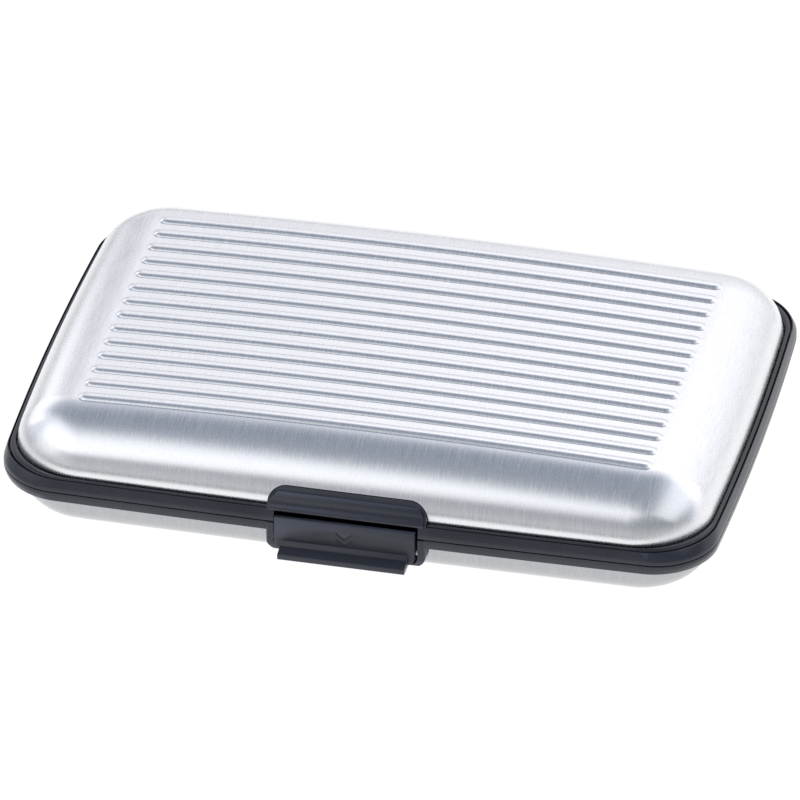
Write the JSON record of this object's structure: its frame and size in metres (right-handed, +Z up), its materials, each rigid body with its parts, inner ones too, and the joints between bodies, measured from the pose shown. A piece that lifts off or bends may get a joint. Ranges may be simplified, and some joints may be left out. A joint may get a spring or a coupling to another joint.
{
  "type": "eyeglasses case",
  "caption": "Flat hard case with ribbed aluminium covers in plastic frames, a hinged lid, lined trays and a sprung press latch at the front.",
  "frame": {"origin": "on the surface that the case lies on, under the middle of the closed case's box", "axes": "+X along the case's length, -Y towards the latch, +Y towards the hinges, +Z up"},
  "size_m": [0.165, 0.1226, 0.0309],
  "materials": {
    "brushed_aluminium": "fine brushed satin, brush lines front to back",
    "frame_plastic": "satin moulded charcoal ABS",
    "ring_plastic": "satin moulded black ABS",
    "latch_plastic": "satin moulded charcoal ABS",
    "flock_lining": "short flock on a moulded tray",
    "foam": "soft knit-faced foam",
    "pin_steel": "drawn wire",
    "spring_steel": "spring wire"
  },
  "bodies": {
    "base": {"lower_cover": "brushed_aluminium", "lower_retaining_ring": "ring_plastic", "lower_frame": "frame_plastic", "lower_tray": "flock_lining", "lower_foam_pad": "foam", "latch_pin": "pin_steel", "latch_spring": "spring_steel", "hinge_pin_left": "pin_steel", "hinge_pin_right": "pin_steel"},
    "lid": {"upper_cover": "brushed_aluminium", "upper_retaining_ring": "ring_plastic", "upper_frame": "frame_plastic", "upper_tray": "flock_lining", "upper_foam_pad": "foam"},
    "latch": {"latch_flap": "latch_plastic"}
  },
  "joints": [
    {"name": "lid_hinge", "type": "hinge", "parent": "base", "child": "lid", "pos_m": [0, 0.059, 0.0147], "axis": [-1, 0, 0], "range_deg": [0, 110]},
    {"name": "latch_pivot", "type": "hinge", "parent": "base", "child": "latch", "pos_m": [0, -0.0551, 0.0105], "axis": [1, 0, 0], "range_deg": [0, 22], "stiffness_Nm_per_rad": 0.04, "springref_deg": -11.46, "deforming": ["latch_spring"]}
  ]
}
